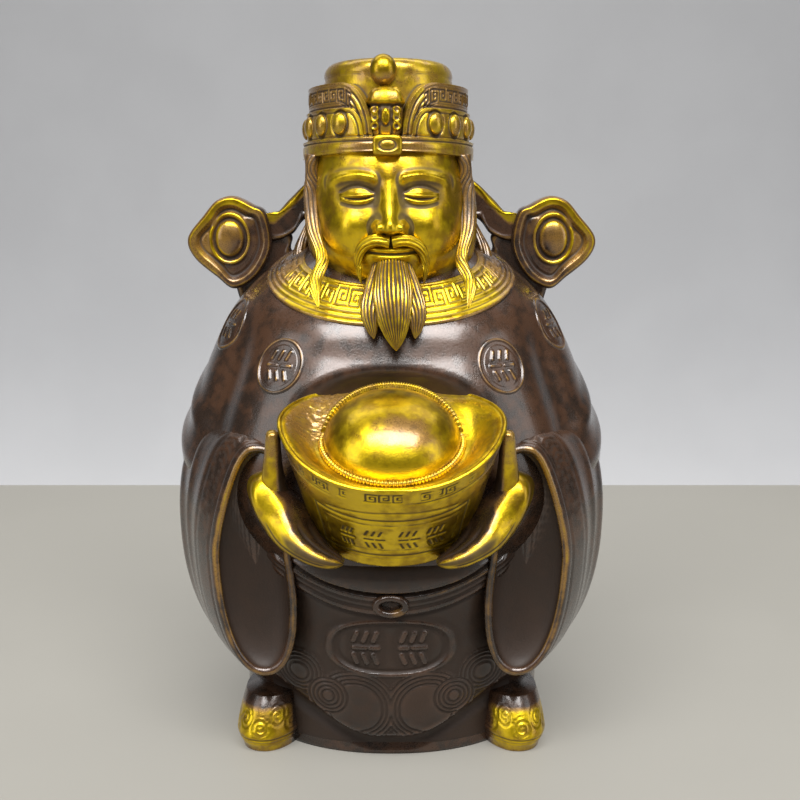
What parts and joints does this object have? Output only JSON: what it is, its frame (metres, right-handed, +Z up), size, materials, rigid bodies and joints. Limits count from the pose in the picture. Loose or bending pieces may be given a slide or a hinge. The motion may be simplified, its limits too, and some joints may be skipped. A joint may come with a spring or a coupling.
{
  "type": "caishen figure",
  "caption": "Standing god of wealth figure in a tiered, winged court hat and wide-sleeved robe, holding a boat-shaped ingot in both hands; flat underside.",
  "frame": {"origin": "centre of the bounding box's bottom, on the plane that the figure stands on", "axes": "+Z up, the figure faces -Y, its right hand is on the -X side"},
  "size_m": [0.1296, 0.1218, 0.2001],
  "materials": {
    "patinated_brass": "dark brown patina, polished through to yellow brass on face, hat, hands and ingot"
  },
  "bodies": {
    "root": {"caishen_figure": "patinated_brass"}
  },
  "joints": []
}
